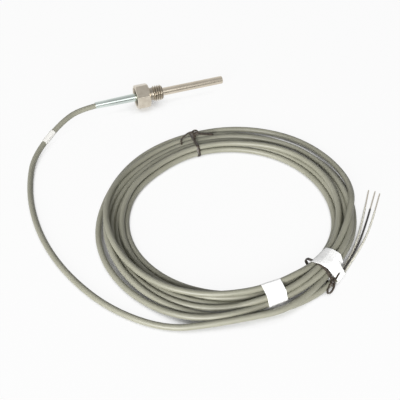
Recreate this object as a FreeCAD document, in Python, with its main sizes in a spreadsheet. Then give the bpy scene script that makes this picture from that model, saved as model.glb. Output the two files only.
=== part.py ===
# A cable temperature probe that screws into a wall or pipe. A closed metal tube holds the sensing
# element, a turned hexagon fitting with an external thread carries the tube, and a tapered crimp
# sleeve grips the cable. The cable is wound into a loose oval coil that two wire ties hold.
# Millimetres. X runs along the probe to its sensing tip, Z is up, and the probe lies on one corner
# edge of its hexagon with the origin under its middle.
import FreeCAD, Part
import math
import os
import Sketcher
from FreeCAD import Placement, Rotation, Vector

document = FreeCAD.newDocument("temperature_probe")
sizes = document.addObject("Spreadsheet::Sheet", "sizes")

DRIVING_SIZES = [
    # The screw-in fitting, turned from hexagon bar.
    ("hex_across_flats", 17.0, "spanner size of the hexagon"),
    ("hex_length", 10.6, "length of the hexagon along the axis"),
    ("hex_face_dia", 15.8, "circle left flat on each end face by the turned chamfer"),
    ("hex_chamfer_angle", 30.0, "angle between the turned chamfer and the end face, degrees"),
    ("neck_dia", 9.8, "undercut behind the thread"),
    ("neck_length", 2.8, "length of the undercut"),
    ("thread_dia", 12.0, "major diameter of the thread"),
    ("thread_length", 7.8, "length of the threaded part with its lead chamfer"),
    ("thread_lead", 1.2, "45 degree chamfer at the front of the thread"),
    ("recess_mouth_dia", 14.2, "dished rear face of the hexagon, at its rim"),
    ("recess_floor_dia", 12.4, "dished rear face, at its floor"),
    ("recess_depth", 2.4, "depth of the dished rear face"),
    ("socket_depth", 5.0, "depth of the socket that the crimp sleeve is pressed in"),
    ("fit_gap", 0.03, "radial gap of the brazed and pressed fits"),
    # The protection tube.
    ("insertion_length", 59.65, "from the hexagon's front face to the sensing tip"),
    ("tube_dia", 6.0, "outside of the protection tube"),
    ("tube_wall", 0.6, "wall of the protection tube"),
    ("tip_floor", 1.2, "thickness of the closed tip"),
    ("tip_round", 0.8, "rounding of the tip's edge"),
    ("braze_groove_length", 2.0, "groove in the tube that the braze fills, inside the fitting"),
    ("braze_groove_depth", 0.25, "depth of the braze groove"),
    # The crimp sleeve.
    ("sleeve_dia", 6.2, "crimp sleeve at the hexagon"),
    ("sleeve_head_dia", 7.0, "head of the crimp sleeve inside the fitting's socket"),
    ("sleeve_front_taper", 0.1, "how much thicker the sleeve is at its head than at its taper"),
    ("sleeve_wall", 0.6, "wall of the crimp sleeve at the hexagon"),
    ("sleeve_rear_wall", 0.4, "wall of the crimp sleeve where it grips the cable"),
    ("sleeve_showing", 31.25, "length of the sleeve behind the hexagon"),
    ("sleeve_straight", 4.0, "nearly straight part of the sleeve before its taper"),
    ("sleeve_grip", 11.0, "length over which the sleeve holds the cable"),
    ("sleeve_cone", 6.0, "length of the sleeve's inner cone"),
    ("sleeve_edge", 0.2, "rounding of the sleeve's rear edge"),
    # The parts inside the tube.
    ("element_dia", 3.6, "ceramic body of the sensing element"),
    ("element_length", 15.0, "length of the sensing element"),
    ("element_edge", 0.4, "chamfer of the sensing element's ends"),
    ("tip_gap", 1.0, "filler between the tip's floor and the element"),
    ("filler_overlap", 6.0, "filler behind the element"),
    ("element_wire_dia", 0.4, "wires of the sensing element"),
    ("core_dia", 1.2, "insulated cores of the cable"),
    ("core_rise", 1.3, "first core above the probe's axis"),
    ("core_drop", 0.7, "second and third core below the probe's axis"),
    ("splice_start", 2.0, "first splice tube in front of the hexagon's front face"),
    ("splice_one_length", 10.0, "length of the splice tube of the first core"),
    ("splice_two_length", 12.0, "length of the splice tube of the other two cores"),
    ("splice_spacing", 2.0, "distance between the splice tubes"),
    ("splice_wall", 0.25, "wall of the splice tubes"),
    ("jacket_inside", 12.0, "length of cable jacket inside the crimp sleeve"),
    # The cable and its coil.
    ("cable_dia", 4.0, "outside of the cable jacket"),
    ("cable_grip_gap", 0.05, "radial gap between cable jacket and crimp sleeve"),
    ("marker_wall", 0.3, "wall of the white marker sleeve"),
    ("marker_length", 11.5, "length of the white marker sleeve"),
    ("coil_x", 7.9, "centre of the coil's outer oval"),
    ("coil_y", -128.1, "centre of the coil's outer oval"),
    ("coil_outer_major", 92.8, "long half axis of the coil's outer oval"),
    ("coil_outer_minor", 84.2, "short half axis of the coil's outer oval"),
    ("coil_outer_turn", 22.3, "turn of the outer oval from X, degrees"),
    ("coil_inner_major", 68.6, "long half axis of the coil's opening"),
    ("coil_inner_minor", 62.7, "short half axis of the coil's opening"),
    ("coil_inner_turn", -3.4, "turn of the opening from X, degrees"),
    ("coil_inner_shift_x", 2.2, "shift of the opening from the outer oval's centre"),
    ("coil_inner_shift_y", -4.5, "shift of the opening from the outer oval's centre"),
    ("coil_height", 8.0, "height of the wound bundle"),
    ("coil_bevel", 2.4, "bevel of the bundle's edges"),
    ("strand_excess", 0.4, "radius of the strand outside the oval, over the oval's short half axis"),
    ("strand_shift_x", 0.0, "shift of the strand's centre from the outer oval's centre"),
    ("strand_shift_y", -4.0, "shift of the strand's centre from the outer oval's centre"),
    ("strand_from", -98.4, "where the lead joins the coil, degrees round the strand's centre"),
    ("strand_to", -52.0, "where the cable's stripped end lies, degrees round the strand's centre"),
    # The ties and the paper labels on the coil.
    ("tie_thickness", 0.9, "thickness of the wire ties"),
    ("tie_width", 2.6, "width of the wire ties"),
    ("tie_top_angle", 90.0, "place of the first tie round the coil, degrees"),
    ("tie_side_angle", -65.0, "place of the second tie round the coil, degrees"),
    ("tie_knot_dia", 3.4, "twisted knot of a tie"),
    ("tie_knot_height", 2.4, "height of the first tie's knot over the bundle"),
    ("tie_side_knot_length", 7.0, "length of the second tie's knot beside the bundle"),
    ("tie_end_length", 12.0, "free ends of the first tie"),
    ("tie_side_end_length", 8.0, "free end of the second tie"),
    ("paper", 0.3, "thickness of the folded paper labels"),
    ("band_label_angle", -54.5, "place of the label round the whole bundle, degrees"),
    ("band_label_width", 14.5, "width of the label round the whole bundle"),
    ("flag_label_angle", -87.0, "place of the label on the inner strands, degrees"),
    ("flag_label_width", 13.0, "width of the label on the inner strands"),
    ("flag_label_edge", 82.0, "outer edge of the label on the inner strands, from the coil's centre"),
    # The stripped wires.
    ("wire_dia", 1.2, "insulation of the connecting wires"),
    ("wire_spread", 0.95, "side wires beside the cable's centre at the stripped end"),
    ("wire_sink", 0.5, "side wires below the cable's centre at the stripped end"),
    ("wire_lift", 1.0, "middle wire above the cable's centre at the stripped end"),
    ("tinned_dia", 0.9, "tinned end of a connecting wire"),
    ("tinned_length", 17.5, "length of a tinned end"),
]

for row, (alias, size, meaning) in enumerate(DRIVING_SIZES, start=1):
    sizes.set(f"A{row}", alias)
    sizes.set(f"B{row}", str(size))
    sizes.set(f"C{row}", meaning)
    sizes.setAlias(f"B{row}", alias)
document.recompute()

# Places along the probe, measured from the hexagon's front face.
REAR_FACE = "(-sizes.hex_length)"
SLEEVE_STOP = "(-sizes.hex_length + sizes.recess_depth + sizes.socket_depth)"
SLEEVE_END = "(-sizes.hex_length - sizes.sleeve_showing)"
JACKET_END = "(-sizes.hex_length - sizes.sleeve_showing + sizes.jacket_inside)"
THREAD_START = "sizes.neck_length"
THREAD_END = "(sizes.neck_length + sizes.thread_length)"
ELEMENT_FRONT = "(sizes.insertion_length - sizes.tip_floor - sizes.tip_gap)"
ELEMENT_REAR = f"({ELEMENT_FRONT} - sizes.element_length)"
SPLICE_ONE_END = "(sizes.splice_start + sizes.splice_one_length)"
SPLICE_TWO_START = f"({SPLICE_ONE_END} + sizes.splice_spacing)"
SPLICE_TWO_END = f"({SPLICE_TWO_START} + sizes.splice_two_length)"
CORE_ONE_END = "(sizes.splice_start + sizes.splice_one_length / 2)"
CORE_TWO_END = f"({SPLICE_TWO_START} + sizes.splice_two_length / 2)"

# Radii and heights that several pieces share.
CORNER_RADIUS = "(sizes.hex_across_flats / 2 / cos(30 deg))"
AXIS_HEIGHT = CORNER_RADIUS
FRONT_FACE_X = "((sizes.sleeve_showing + sizes.hex_length - sizes.insertion_length) / 2)"
TUBE_RADIUS = "(sizes.tube_dia / 2)"
TUBE_BORE = "(sizes.tube_dia / 2 - sizes.tube_wall)"
SLEEVE_RADIUS = "(sizes.sleeve_dia / 2)"
SLEEVE_BORE = "(sizes.sleeve_dia / 2 - sizes.sleeve_wall)"
SLEEVE_HEAD_RADIUS = "(sizes.sleeve_head_dia / 2)"
GRIP_BORE = "(sizes.cable_dia / 2 + sizes.cable_grip_gap)"
GRIP_RADIUS = f"({GRIP_BORE} + sizes.sleeve_rear_wall)"
CORE_RADIUS = "(sizes.core_dia / 2)"

ALONG_X = Rotation(Vector(0, 1, 0), 90)
FULL_TURN = 360

parts = {}


def number(expression):
    """Give the value that an expression on the sheet has now."""
    return float(sizes.evalExpression(expression))


def keep(piece, label):
    """Give a finished piece the name that its file gets."""
    piece.Label = label
    parts[label] = piece
    return piece


def new_body(name):
    """Start a turned or padded piece that lies on the probe's axis."""
    body = document.addObject("PartDesign::Body", name)
    body.setExpression("Placement.Base.x", FRONT_FACE_X)
    body.setExpression("Placement.Base.z", AXIS_HEIGHT)
    return keep(body, name)


def outline(body, name, role, corners):
    """Draw a closed outline on one of the body's own planes, each corner set by two expressions."""
    sketch = body.newObject("Sketcher::SketchObject", name)
    plane = next(o for o in body.Origin.OriginFeatures if o.Role == role)
    sketch.AttachmentSupport = [(plane, "")]
    sketch.MapMode = "FlatFace"
    places = [Vector(number(x), number(y), 0) for x, y in corners]
    count = len(places)
    for i in range(count):
        sketch.addGeometry(Part.LineSegment(places[i], places[(i + 1) % count]), False)
    for i in range(count):
        sketch.addConstraint(Sketcher.Constraint("Coincident", i, 2, (i + 1) % count, 1))
    for i, (x, y) in enumerate(corners):
        for kind, place, expression in (("DistanceX", places[i].x, x), ("DistanceY", places[i].y, y)):
            index = sketch.addConstraint(Sketcher.Constraint(kind, -1, 1, i, 1, place))
            sketch.setExpression(f"Constraints[{index}]", expression)
    document.recompute()
    return sketch


def turn(body, name, kind, corners):
    """Turn an outline of (place along the axis, radius) corners once round the probe's axis."""
    before = body.Shape.Volume if body.Tip else 0.0
    sketch = outline(body, f"{name}_outline", "XZ_Plane", corners)
    feature = body.newObject(f"PartDesign::{kind}", name)
    feature.Profile = sketch
    feature.ReferenceAxis = (sketch, ["H_Axis"])
    feature.Angle = FULL_TURN
    sketch.Visibility = False
    document.recompute()
    change = body.Shape.Volume - before
    if (kind == "Groove") == (change > 0):
        raise ValueError(f"{name} went the wrong way: {change}")
    return feature


def round_edge(body, feature, name, place, radius, size):
    """Round the circular edge at one place along the axis and one radius."""
    wanted_place, wanted_radius = number(place), number(radius)
    origin = body.Placement.Base
    for index, edge in enumerate(feature.Shape.Edges, start=1):
        curve = edge.Curve
        if not isinstance(curve, Part.Circle):
            continue
        if abs(curve.Radius - wanted_radius) < 1e-4 and abs(curve.Center.x - wanted_place) < 1e-4:
            fillet = body.newObject("PartDesign::Fillet", name)
            fillet.Base = (feature, [f"Edge{index}"])
            fillet.setExpression("Radius", size)
            document.recompute()
            return fillet
    raise ValueError(f"{name}: no edge at {wanted_place}, {wanted_radius} from {origin}")


def rod(name, start, end, radius, height="0"):
    """Make a straight round rod along the probe, at a height over its axis."""
    cylinder = document.addObject("Part::Cylinder", name)
    cylinder.setExpression("Radius", radius)
    cylinder.setExpression("Height", f"{end} - {start}")
    cylinder.Placement = Placement(Vector(0, 0, 0), ALONG_X)
    cylinder.setExpression("Placement.Base.x", f"{FRONT_FACE_X} + {start}")
    cylinder.setExpression("Placement.Base.z", f"{AXIS_HEIGHT} + ({height})")
    return cylinder


def combine(kind, name, first, second, merge_faces=True):
    """Cut, fuse or intersect two pieces, and merge the faces that come out in one plane."""
    result = document.addObject(f"Part::{kind}", name)
    result.Base = first
    result.Tool = second
    result.Refine = merge_faces
    document.recompute()
    return result


# The fitting: hexagon with a turned chamfer at both ends, undercut, thread blank and stepped bore.
# Two of its corners point straight up and down. The thread's turns are drawn on this blank.
fitting = new_body("process_fitting")
hexagon = outline(fitting, "hexagon", "YZ_Plane", [
    ("0", CORNER_RADIUS),
    ("sizes.hex_across_flats / 2", f"{CORNER_RADIUS} / 2"),
    ("sizes.hex_across_flats / 2", f"-{CORNER_RADIUS} / 2"),
    ("0", f"-{CORNER_RADIUS}"),
    ("-sizes.hex_across_flats / 2", f"-{CORNER_RADIUS} / 2"),
    ("-sizes.hex_across_flats / 2", f"{CORNER_RADIUS} / 2"),
])
hexagon_bar = fitting.newObject("PartDesign::Pad", "hexagon_bar")
hexagon_bar.Profile = hexagon
hexagon_bar.setExpression("Length", "sizes.hex_length")
hexagon_bar.Reversed = True
document.recompute()

CHAMFER_REACH = f"(({CORNER_RADIUS} + 1 - sizes.hex_face_dia / 2) * tan(sizes.hex_chamfer_angle * 1 deg))"
turn(fitting, "front_chamfer", "Groove", [
    ("0", "sizes.hex_face_dia / 2"),
    ("0", f"{CORNER_RADIUS} + 1"),
    (f"-{CHAMFER_REACH}", f"{CORNER_RADIUS} + 1"),
])
turn(fitting, "rear_chamfer", "Groove", [
    (REAR_FACE, "sizes.hex_face_dia / 2"),
    (f"{REAR_FACE} + {CHAMFER_REACH}", f"{CORNER_RADIUS} + 1"),
    (REAR_FACE, f"{CORNER_RADIUS} + 1"),
])
turn(fitting, "thread_blank", "Revolution", [
    ("0", "0"),
    ("0", "sizes.neck_dia / 2"),
    (THREAD_START, "sizes.neck_dia / 2"),
    (f"{THREAD_START} + (sizes.thread_dia - sizes.neck_dia) / 2", "sizes.thread_dia / 2"),
    (f"{THREAD_END} - sizes.thread_lead", "sizes.thread_dia / 2"),
    (THREAD_END, "sizes.thread_dia / 2 - sizes.thread_lead"),
    (THREAD_END, "0"),
])
turn(fitting, "stepped_bore", "Groove", [
    (REAR_FACE, "0"),
    (REAR_FACE, "sizes.recess_mouth_dia / 2"),
    (f"{REAR_FACE} + sizes.recess_depth", "sizes.recess_floor_dia / 2"),
    (f"{REAR_FACE} + sizes.recess_depth", f"{SLEEVE_HEAD_RADIUS} + sizes.fit_gap"),
    (SLEEVE_STOP, f"{SLEEVE_HEAD_RADIUS} + sizes.fit_gap"),
    (SLEEVE_STOP, f"{TUBE_RADIUS} + sizes.fit_gap"),
    (THREAD_END, f"{TUBE_RADIUS} + sizes.fit_gap"),
    (THREAD_END, "0"),
])

# The protection tube is drawn closed at its tip. Inside the fitting's bore it has a groove that the
# braze fills, up to the fitting's front face.
tube = new_body("protection_tube")
tube_shell = turn(tube, "tube_shell", "Revolution", [
    (SLEEVE_STOP, TUBE_BORE),
    (SLEEVE_STOP, TUBE_RADIUS),
    (f"{THREAD_END} - sizes.braze_groove_length", TUBE_RADIUS),
    (f"{THREAD_END} - sizes.braze_groove_length", f"{TUBE_RADIUS} - sizes.braze_groove_depth"),
    (THREAD_END, f"{TUBE_RADIUS} - sizes.braze_groove_depth"),
    (THREAD_END, TUBE_RADIUS),
    ("sizes.insertion_length", TUBE_RADIUS),
    ("sizes.insertion_length", "0"),
    ("sizes.insertion_length - sizes.tip_floor", "0"),
    ("sizes.insertion_length - sizes.tip_floor", TUBE_BORE),
])
round_edge(tube, tube_shell, "rounded_tip", "sizes.insertion_length", TUBE_RADIUS, "sizes.tip_round")

# The crimp sleeve has a head that is pressed into the fitting's socket. Behind the hexagon it tapers
# to the cable, and it grips the jacket over its rear part.
sleeve = new_body("crimp_sleeve")
sleeve_shell = turn(sleeve, "sleeve_shell", "Revolution", [
    (SLEEVE_STOP, SLEEVE_BORE),
    (SLEEVE_STOP, SLEEVE_HEAD_RADIUS),
    (f"{REAR_FACE} + sizes.recess_depth", SLEEVE_HEAD_RADIUS),
    (f"{REAR_FACE} + sizes.recess_depth", SLEEVE_RADIUS),
    (f"{REAR_FACE} - sizes.sleeve_straight", f"{SLEEVE_RADIUS} - sizes.sleeve_front_taper"),
    (SLEEVE_END, GRIP_RADIUS),
    (SLEEVE_END, GRIP_BORE),
    (f"{SLEEVE_END} + sizes.sleeve_grip", GRIP_BORE),
    (f"{SLEEVE_END} + sizes.sleeve_grip + sizes.sleeve_cone", SLEEVE_BORE),
])
round_edge(sleeve, sleeve_shell, "rounded_rear_edge", SLEEVE_END, GRIP_RADIUS, "sizes.sleeve_edge")

# The sensing element is a small ceramic rod close behind the tip, with chamfered ends.
element = new_body("sensing_element")
turn(element, "element_rod", "Revolution", [
    (ELEMENT_REAR, "0"),
    (ELEMENT_REAR, "sizes.element_dia / 2 - sizes.element_edge"),
    (f"{ELEMENT_REAR} + sizes.element_edge", "sizes.element_dia / 2"),
    (f"{ELEMENT_FRONT} - sizes.element_edge", "sizes.element_dia / 2"),
    (ELEMENT_FRONT, "sizes.element_dia / 2 - sizes.element_edge"),
    (ELEMENT_FRONT, "0"),
])

# Its two wires run back to the splices, one above and one below the axis.
WIRE_RADIUS = "(sizes.element_wire_dia / 2)"
element_wire_one = keep(
    rod("element_wire_one", CORE_ONE_END, ELEMENT_REAR, WIRE_RADIUS, "sizes.core_rise"), "element_wire_one")
element_wire_two = keep(
    rod("element_wire_two", CORE_TWO_END, ELEMENT_REAR, WIRE_RADIUS, "-sizes.core_drop"), "element_wire_two")

# A packed filler holds the element and its wires in the tip.
filler_rod = rod(
    "filler_rod",
    f"({ELEMENT_REAR} - sizes.filler_overlap)",
    "(sizes.insertion_length - sizes.tip_floor)",
    f"({TUBE_BORE} - sizes.fit_gap)",
)
held = document.addObject("Part::MultiFuse", "held_in_filler")
held.Shapes = [element, element_wire_one, element_wire_two]
document.recompute()
keep(combine("Cut", "filler", filler_rod, held), "tip_filler")

# The three cores of the cable leave the jacket inside the crimp sleeve. The first one is joined to
# the upper wire, and the other two together to the lower wire, which is the three-wire circuit.
keep(rod("core_one", JACKET_END, CORE_ONE_END, CORE_RADIUS, "sizes.core_rise"), "core_one")
for label, side in (("core_two", "-1"), ("core_three", "1")):
    core = keep(rod(label, JACKET_END, CORE_TWO_END, CORE_RADIUS, "-sizes.core_drop"), label)
    core.setExpression("Placement.Base.y", f"{side} * {CORE_RADIUS}")

# A shrunk tube covers each splice, the second one round both lower cores.
for label, start, end, bore, height in (
    ("splice_tube_one", "sizes.splice_start", SPLICE_ONE_END, CORE_RADIUS, "sizes.core_rise"),
    ("splice_tube_two", SPLICE_TWO_START, SPLICE_TWO_END, f"(2 * {CORE_RADIUS})", "-sizes.core_drop"),
):
    outside = rod(f"{label}_outside", start, end, f"({bore} + sizes.fit_gap + sizes.splice_wall)", height)
    inside = rod(f"{label}_inside", start, end, f"({bore} + sizes.fit_gap)", height)
    keep(combine("Cut", label, outside, inside), label)

# Routes of the cable and its wires, by the points that their straight runs meet at.
CABLE_RADIUS = number("sizes.cable_dia / 2")
COIL_CENTRE = Vector(number("sizes.coil_x"), number("sizes.coil_y"), 0)
STRAND_SHIFT = Vector(number("sizes.strand_shift_x"), number("sizes.strand_shift_y"), 0)
STRAND_CENTRE = COIL_CENTRE + STRAND_SHIFT
OPENING_SHIFT = Vector(number("sizes.coil_inner_shift_x"), number("sizes.coil_inner_shift_y"), 0)
STRAND_RADIUS = number("sizes.coil_outer_minor + sizes.strand_excess")
BEND_SHARE = 0.45


def toward(degrees):
    """Give the level direction at an angle from X."""
    angle = math.radians(degrees)
    return Vector(math.cos(angle), math.sin(angle), 0)


def strand_point(degrees):
    """Give the point of the outer strand's centre line at an angle round the strand's centre."""
    return STRAND_CENTRE + toward(degrees) * STRAND_RADIUS + Vector(0, 0, CABLE_RADIUS)


def strand_angle_at(degrees):
    """Give the strand's own angle where a ray from the coil's centre crosses it."""
    ray = toward(degrees)
    along = STRAND_SHIFT.dot(ray)
    reach = along + math.sqrt(STRAND_RADIUS**2 - STRAND_SHIFT.dot(STRAND_SHIFT) + along**2)
    crossing = ray * reach - STRAND_SHIFT
    return math.degrees(math.atan2(crossing.y, crossing.x))


def rounded_route(label, points):
    """Join straight runs by tangent arcs that take the same share of the shorter run at each point."""
    edges = []
    radii = []
    last = points[0]
    for before, corner, after in zip(points, points[1:], points[2:]):
        back = (before - corner).normalize()
        ahead = (after - corner).normalize()
        reach = BEND_SHARE * min((before - corner).Length, (after - corner).Length)
        half_turn = (math.pi - back.getAngle(ahead)) / 2
        radius = reach / math.tan(half_turn)
        centre = corner + (back + ahead).normalize() * (radius / math.cos(half_turn))
        middle = centre + (corner - centre).normalize() * radius
        start = corner + back * reach
        end = corner + ahead * reach
        edges.append(Part.LineSegment(last, start).toShape())
        edges.append(Part.Arc(start, middle, end).toShape())
        radii.append(radius)
        last = end
    edges.append(Part.LineSegment(last, points[-1]).toShape())
    print(label, "bend radii", [round(radius, 1) for radius in radii])
    return Part.Wire(edges)


def tube_along(route, radius, heading):
    """Sweep a full round section along a route that starts with the given heading."""
    start = route.Edges[0].valueAt(route.Edges[0].FirstParameter)
    ring = Part.Wire([Part.makeCircle(radius, start, heading)])
    tube_solid = route.makePipeShell([ring], True, True)
    expected = math.pi * radius**2 * route.Length
    print("  length", round(route.Length, 1), "volume over section times length",
          round(tube_solid.Volume / expected, 4))
    return tube_solid


def fixed_shape(label, shape):
    """Hold a shape that is worked out here as a piece of its own."""
    piece = document.addObject("Part::Feature", label)
    piece.Shape = shape
    return keep(piece, label)


# The cable leaves the sleeve level, comes down to the table and swings round to the coil.
axis_height = number(AXIS_HEIGHT)
jacket_end = Vector(number(f"{FRONT_FACE_X} + {JACKET_END}"), 0, axis_height)
sleeve_end = Vector(number(f"{FRONT_FACE_X} + {SLEEVE_END}"), 0, axis_height)
coil_entry = strand_point(number("sizes.strand_from"))
entry_heading = toward(number("sizes.strand_from") + 90)
ENTRY_RUN = 26.0
lead_points = [
    jacket_end,
    sleeve_end + Vector(-9.5, 0, 0),
    Vector(-78.0, -8.4, 8.5),
    Vector(-103.5, -32.8, 3.5),
    Vector(-111.4, -56.0, CABLE_RADIUS),
    Vector(-115.0, -84.0, CABLE_RADIUS),
    Vector(-112.8, -116.0, CABLE_RADIUS),
    Vector(-103.0, -149.0, CABLE_RADIUS),
    Vector(-84.5, -181.5, CABLE_RADIUS),
    Vector(-57.0, -205.5, CABLE_RADIUS),
    coil_entry - entry_heading * ENTRY_RUN,
    coil_entry,
]
lead_route = rounded_route("cable lead", lead_points)
lead_heading = lead_points[1] - lead_points[0]
lead = fixed_shape("cable_lead", tube_along(lead_route, CABLE_RADIUS, lead_heading))

# A short white marker sleeve is pushed over the cable where it runs straight down to the table.
MARKER_RUN = 2
marker_from, marker_to = lead_points[MARKER_RUN], lead_points[MARKER_RUN + 1]
marker_along = (marker_to - marker_from).normalize()
marker_place = Placement(
    (marker_from + marker_to) / 2 - marker_along * number("sizes.marker_length / 2"),
    Rotation(Vector(0, 0, 1), marker_along))
marker_rods = []
for name, radius in (
    ("marker_outside", "sizes.cable_dia / 2 + sizes.marker_wall"),
    ("marker_inside", "sizes.cable_dia / 2"),
):
    marker_rod = document.addObject("Part::Cylinder", name)
    marker_rod.setExpression("Radius", radius)
    marker_rod.setExpression("Height", "sizes.marker_length")
    marker_rod.Placement = marker_place
    marker_rods.append(marker_rod)
keep(combine("Cut", "marker", *marker_rods), "marker_sleeve")


# The bundle: an oval ring between the coil's outer and inner outline, with the part of the cable
# that lies outside it where the lead comes in and the stripped end goes out. The same shape, made
# larger or smaller all round by a skin, is what the ties and labels are wrapped on.
STRAND_ROOT = number("3 * sizes.cable_dia")


def oval_block(name, half_length, half_width, turned, centre, skin):
    """Stand a block on the table whose outline is an oval of four arcs that meet on its diagonals."""
    reach = (half_length - half_width) / (2 - math.sqrt(2))
    arcs = []
    for quarter in range(4):
        across = quarter % 2 == 1
        offset = -reach if across else reach
        radius = half_width + reach if across else half_length - reach
        arc_centre = toward(90 * quarter) * offset
        places = [arc_centre + toward(90 * quarter + side) * radius for side in (-45, 0, 45)]
        arcs.append(Part.Arc(*places).toShape())
    outline_wire = document.addObject("Part::Feature", f"{name}_outline")
    outline_wire.Shape = Part.Wire(arcs)
    outline_wire.Placement = Placement(centre, Rotation(Vector(0, 0, 1), turned))
    outline_wire.setExpression("Placement.Base.z", f"max(0; -({skin}))")
    block = document.addObject("Part::Extrusion", name)
    block.Base = outline_wire
    block.DirMode = "Normal"
    block.setExpression("LengthFwd", f"sizes.coil_height + ({skin}) - max(0; -({skin}))")
    block.Solid = True
    return block


def bundle(name, skin):
    """Make the wound bundle with its surface moved out by a skin, or in by a negative one."""
    outer = oval_block(
        f"{name}_outer", number(f"sizes.coil_outer_major + ({skin})"),
        number(f"sizes.coil_outer_minor + ({skin})"), number("sizes.coil_outer_turn"), COIL_CENTRE, skin)
    inner = oval_block(
        f"{name}_inner", number(f"sizes.coil_inner_major - ({skin})"),
        number(f"sizes.coil_inner_minor - ({skin})"), number("sizes.coil_inner_turn"),
        COIL_CENTRE + OPENING_SHIFT, skin)
    ring = combine("Cut", f"{name}_ring", outer, inner)
    bevelled = document.addObject("Part::Chamfer", f"{name}_bevelled")
    bevelled.Base = ring
    bevel = number(f"sizes.coil_bevel + ({skin}) * (2 - sqrt(2))")
    rims = [i for i, edge in enumerate(ring.Shape.Edges, start=1)
            if abs(edge.BoundBox.ZLength) < 1e-6]
    bevelled.Edges = [(i, bevel, bevel) for i in rims]
    document.recompute()
    lift = max(0.0, number(skin)) / 2
    tube_radius = number(f"sizes.cable_dia / 2 + ({skin})") - lift
    inward = toward(number("sizes.strand_from") + 180)
    middle = coil_entry + Vector(0, 0, lift)
    top = middle + Vector(0, 0, tube_radius)
    bottom = middle - Vector(0, 0, tube_radius)
    root = inward * STRAND_ROOT
    profile = Part.Face(Part.Wire([
        Part.Arc(top, middle - inward * tube_radius, bottom).toShape(),
        Part.LineSegment(bottom, bottom + root).toShape(),
        Part.LineSegment(bottom + root, top + root).toShape(),
        Part.LineSegment(top + root, top).toShape(),
    ]))
    strand = document.addObject("Part::Feature", f"{name}_strand")
    sweep_angle = number("sizes.strand_to - sizes.strand_from")
    strand.Shape = profile.revolve(STRAND_CENTRE, Vector(0, 0, 1), sweep_angle)
    return combine("Fuse", name, bevelled, strand, merge_faces=False)


def slab_across(name, angle, width, radius_to, lowest):
    """Stand a slab across the bundle at an angle round the coil, as wide as what is wrapped there."""
    slab = document.addObject("Part::Box", name)
    slab.setExpression("Length", radius_to)
    slab.setExpression("Width", width)
    slab.setExpression("Height", "3 * sizes.coil_height")
    turned = Rotation(Vector(0, 0, 1), number(angle))
    corner = Vector(0, -number(width) / 2, number(lowest))
    slab.Placement = Placement(COIL_CENTRE, turned) * Placement(corner, Rotation())
    return slab


whole_bundle = bundle("whole_bundle", "0")
slim_bundle = bundle("slim_bundle", "-sizes.tie_thickness")
papered_bundle = bundle("papered_bundle", "sizes.paper")
PAST_THE_COIL = "(2 * sizes.coil_outer_major)"
BELOW_THE_COIL = "(-sizes.coil_height)"

# Each wire tie is pulled into the bundle, so its loop is the skin of the bundle in a narrow slab.
ties = {}
for label, angle in (("twist_tie_top", "sizes.tie_top_angle"), ("twist_tie_side", "sizes.tie_side_angle")):
    tie_slab = slab_across(f"{label}_slab", angle, "sizes.tie_width", PAST_THE_COIL, BELOW_THE_COIL)
    tie_cut = combine("Common", f"{label}_cut", whole_bundle, tie_slab)
    ties[label] = combine("Cut", f"{label}_loop", tie_cut, slim_bundle)

# The first tie's knot stands on the bundle and its two free ends lie on top of it.
TOP_KNOT_RADIUS = 76.0
TOP_END_SPREAD = 115.0
knot_radius = number("sizes.tie_knot_dia / 2")
tie_half_width = number("sizes.tie_width / 2")
top_angle = number("sizes.tie_top_angle")
on_bundle = Vector(0, 0, number("sizes.coil_height"))
top_knot_foot = COIL_CENTRE + toward(top_angle) * TOP_KNOT_RADIUS + on_bundle
top_knot = document.addObject("Part::Cylinder", "top_knot")
top_knot.setExpression("Radius", "sizes.tie_knot_dia / 2")
top_knot.setExpression("Height", "sizes.tie_knot_height")
top_knot.Placement = Placement(top_knot_foot, Rotation())
top_pieces = [ties["twist_tie_top"], top_knot]
for name, side in (("left", -1), ("right", 1)):
    free_end = document.addObject("Part::Box", f"top_end_{name}")
    free_end.setExpression("Length", "sizes.tie_end_length")
    free_end.setExpression("Width", "sizes.tie_width")
    free_end.setExpression("Height", "sizes.tie_thickness")
    direction = Rotation(Vector(0, 0, 1), top_angle + 180 + side * TOP_END_SPREAD / 2)
    free_end.Placement = Placement(top_knot_foot, direction) * Placement(
        Vector(0, -tie_half_width, 0), Rotation())
    top_pieces.append(free_end)
top_tie = document.addObject("Part::MultiFuse", "top_tie")
top_tie.Shapes = top_pieces
keep(top_tie, "twist_tie_top")

# The second tie's knot lies on the table against the outer strand, along it, and its free end
# runs along the top of that strand.
KNOT_BITE = 0.3
side_strand_angle = strand_angle_at(number("sizes.tie_side_angle"))
side_outward = toward(side_strand_angle)
side_along = Rotation(Vector(0, 0, 1), side_strand_angle + 90)
side_strand = strand_point(side_strand_angle)
side_knot_reach = CABLE_RADIUS + knot_radius - KNOT_BITE
side_knot_middle = side_strand + side_outward * side_knot_reach + Vector(0, 0, knot_radius - CABLE_RADIUS)
side_knot = document.addObject("Part::Cylinder", "side_knot")
side_knot.setExpression("Radius", "sizes.tie_knot_dia / 2")
side_knot.setExpression("Height", "sizes.tie_side_knot_length")
side_knot.Placement = Placement(side_knot_middle, side_along * ALONG_X) * Placement(
    Vector(0, 0, -number("sizes.tie_side_knot_length") / 2), Rotation())
side_end = document.addObject("Part::Box", "side_end")
side_end.setExpression("Length", "sizes.tie_side_end_length")
side_end.setExpression("Width", "sizes.tie_width")
side_end.setExpression("Height", "sizes.tie_thickness")
side_end.Placement = Placement(side_strand + Vector(0, 0, CABLE_RADIUS), side_along) * Placement(
    Vector(-tie_half_width, -tie_half_width, 0), Rotation())
side_tie = document.addObject("Part::MultiFuse", "side_tie")
side_tie.Shapes = [ties["twist_tie_side"], side_knot, side_end]
keep(side_tie, "twist_tie_side")

# The coil has a groove under each tie, so tie and bundle meet face to face.
both_ties = combine("Fuse", "both_ties", top_tie, side_tie)
coil = keep(combine("Cut", "coil", whole_bundle, both_ties), "cable_coil")

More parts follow.
